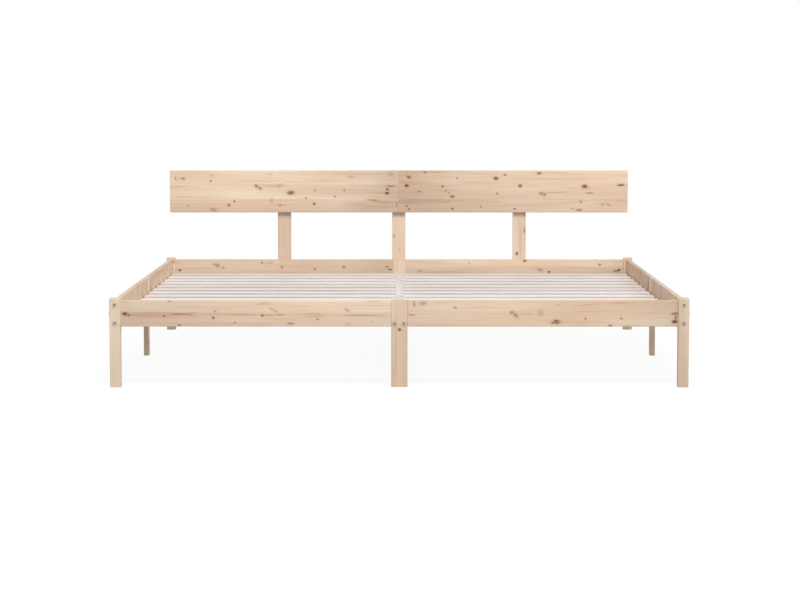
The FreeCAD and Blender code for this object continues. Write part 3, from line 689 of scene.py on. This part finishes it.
ZINC = paint(206, 193, 180)
ZINC_DULL = paint(182, 171, 158)
ZINC_GRIME_AND_SHADE = paint(62, 53, 47)
BRONZED = paint(152, 130, 114)
BRONZED_DULL = paint(128, 110, 97)
BRONZED_GRIME_AND_SHADE = paint(112, 95, 82)
TARNISH_PATTERN = ((420, 420, 420), 3.0)
TARNISH_FADE = (0.35, 0.7, 0.0, 1.0)
SCRATCH_PATTERN = ((2600, 300, 2600), 2.0)
SCRATCH_SHIFT = (5, 0, 0)
GRIME_AND_SHADE_REACH = 8 * MM
GRIME_AND_SHADE_SAMPLES = 8
GRIME_AND_SHADE_FADE = (0.55, 0.97, 1.0, 0.0)
STEEL_ROUGHNESS = (0.28, 0.25)
STEEL_RELIEF = (0.15, 0.1 * MM)


def plated_steel(name, bright, dull, dirt_and_shade):
    """Plated steel, cloudy, with painted shade and dirt in its sockets, slots and creases."""
    material, tree, shader = new_material(name)
    place = frame_place(tree)
    tarnish = noise(tree, place, TARNISH_PATTERN)
    scratch = noise(tree, place, SCRATCH_PATTERN, SCRATCH_SHIFT)
    recess_shade = add_node(tree, "ShaderNodeAmbientOcclusion", {"Distance": GRIME_AND_SHADE_REACH}, samples=GRIME_AND_SHADE_SAMPLES)
    colour = blend(tree, ease(tree, tarnish, *TARNISH_FADE), bright, dull)
    # Painted shade: where recesses and creases occlude the steel, it darkens to a dirt colour
    colour = blend(tree, ease(tree, recess_shade.outputs["AO"], *GRIME_AND_SHADE_FADE), colour, dirt_and_shade)
    give_surface(tree, shader, colour, vary(tree, tarnish, *STEEL_ROUGHNESS), scratch, STEEL_RELIEF)
    shader.inputs["Metallic"].default_value = 1.0
    return material


# Beech dowels: their colours, and their flecks

BEECH = paint(222, 190, 155)
BEECH_FLECK = paint(190, 148, 112)
FLECK_PATTERN = ((300, 900, 900), 3.0)
FLECK_FADE = (0.45, 0.75, 0.0, 1.0)
DOWEL_ROUGHNESS = (0.5, 0.2)
DOWEL_RELIEF = (0.2, 0.2 * MM)


def dowel_wood():
    """Plain pale hardwood with short flecks."""
    material, tree, shader = new_material("dowel_wood")
    fleck = noise(tree, frame_place(tree), FLECK_PATTERN)
    colour = blend(tree, ease(tree, fleck, *FLECK_FADE), BEECH, BEECH_FLECK)
    give_surface(tree, shader, colour, vary(tree, fleck, *DOWEL_ROUGHNESS), fleck, DOWEL_RELIEF)
    return material


# A finish for every node

def dress(name, material):
    """Give a node its finish."""
    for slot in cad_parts[name].material_slots:
        slot.material = material


def dress_all():
    """Give every node its finish, by what it is made of."""
    steel = plated_steel("zinc_steel", ZINC, ZINC_DULL, ZINC_GRIME_AND_SHADE)
    fittings = {
        "rail_dowels": dowel_wood(),
        "barrel_nuts": plated_steel("bronzed_steel", BRONZED, BRONZED_DULL, BRONZED_GRIME_AND_SHADE),
        "connector_bolts": steel,
        "joining_studs": steel,
        "wood_screws": steel,
    }
    for name in sorted(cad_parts):
        if name in fittings:
            dress(name, fittings[name])
        elif name.startswith(("slat_", "beam_")):
            dress(name, plywood(name))
        else:
            dress(name, pine(name))


# Floor, light and camera

def seen_directly(tree):
    """1 where a thing is seen, straight, in a gloss or through glass, and 0 where it only lights the rest."""
    rays = add_node(tree, "ShaderNodeLightPath", {})
    seen = calc(tree, "MAXIMUM", rays.outputs["Is Camera Ray"], rays.outputs["Is Glossy Ray"])
    return calc(tree, "MAXIMUM", seen, rays.outputs["Is Transmission Ray"])


def lay_floor():
    """A plain white floor, which shows the shadow faintly."""
    half = FLOOR_SIZE / 2
    mesh = bpy.data.meshes.new("floor")
    corners = [(-half, -half, 0), (half, -half, 0), (half, half, 0), (-half, half, 0)]
    mesh.from_pydata(corners, [], [(0, 1, 2, 3)])
    floor = bpy.data.objects.new("floor", mesh)
    bpy.context.scene.collection.objects.link(floor)

    material, tree, shader = new_material("floor_white")
    seen = seen_directly(tree)
    paint_level = between(tree, seen, FLOOR_PAINT, FLOOR_PAINT_SEEN)
    put(tree, shader.inputs["Base Color"], join(tree, paint_level, paint_level, paint_level))
    shader.inputs["Roughness"].default_value = FLOOR_ROUGHNESS
    shader.inputs["Specular IOR Level"].default_value = 0.0
    glow = add_node(tree, "ShaderNodeEmission", {"Color": WHITE, "Strength": 1.0})
    away = vector_calc(tree, "LENGTH", frame_place(tree))
    share = calc(tree, "MULTIPLY", seen, ease(tree, away, *SHADOW_REACH, FLOOR_WHITE, 1.0))
    mixed = add_node(tree, "ShaderNodeMixShader", {0: share, 1: shader.outputs[0], 2: glow.outputs[0]})
    put(tree, tree.nodes["Material Output"].inputs["Surface"], mixed.outputs[0])
    mesh.materials.append(material)


def light_world():
    """Soft white light, brightest overhead and a little from the right, and a plain white background."""
    world = bpy.data.worlds.new("studio")
    world.use_nodes = True
    tree = world.node_tree
    background = tree.nodes["Background"]
    background.inputs["Color"].default_value = WHITE
    right, _, rise = split(tree, add_node(tree, "ShaderNodeTexCoord", {}).outputs["Generated"])
    sky = ease(tree, rise, 0.0, 1.0, SKY_LOW, SKY_HIGH)
    sky = calc(tree, "MULTIPLY", sky, calc(tree, "MULTIPLY_ADD", right, SKY_LEAN, 1.0))
    put(tree, background.inputs["Strength"], between(tree, seen_directly(tree), sky, 1.0))
    bpy.context.scene.world = world


def hang_lamp(name, azimuth, elevation, power):
    """One large soft lamp, turned to the middle of the floor under the bed."""
    turn, rise = math.radians(azimuth), math.radians(elevation)
    lamp = bpy.data.lights.new(name, "AREA")
    lamp.shape = "DISK"
    lamp.size = LAMP_SIZE
    lamp.energy = power
    hung = bpy.data.objects.new(name, lamp)
    hung.location = (
        LAMP_DISTANCE * math.cos(rise) * math.sin(turn),
        -LAMP_DISTANCE * math.cos(rise) * math.cos(turn),
        LAMP_DISTANCE * math.sin(rise),
    )
    hung.rotation_euler = (math.pi / 2 - rise, 0, turn)
    hung.visible_camera = False
    bpy.context.scene.collection.objects.link(hung)
    return hung


def set_camera():
    """The photograph's view."""
    lens = bpy.data.cameras.new("camera")
    lens.sensor_width = SENSOR_WIDTH
    lens.lens = FOCAL_PIXELS * SENSOR_WIDTH / IMAGE_WIDTH
    camera = bpy.data.objects.new("camera", lens)
    camera.location = CAMERA_PLACE
    camera.rotation_euler = (math.radians(90 - CAMERA_PITCH), 0, 0)
    bpy.context.scene.collection.objects.link(camera)
    bpy.context.scene.camera = camera


dress_all()
lay_floor()
light_world()
hang_lamp("key", *KEY_LAMP)
hang_lamp("side", *SIDE_LAMP)
# The rear lamp lights the back, and throws no glare over the bed
hang_lamp("rear", *REAR_LAMP).visible_glossy = False
set_camera()
bpy.context.scene.view_settings.view_transform = "Standard"
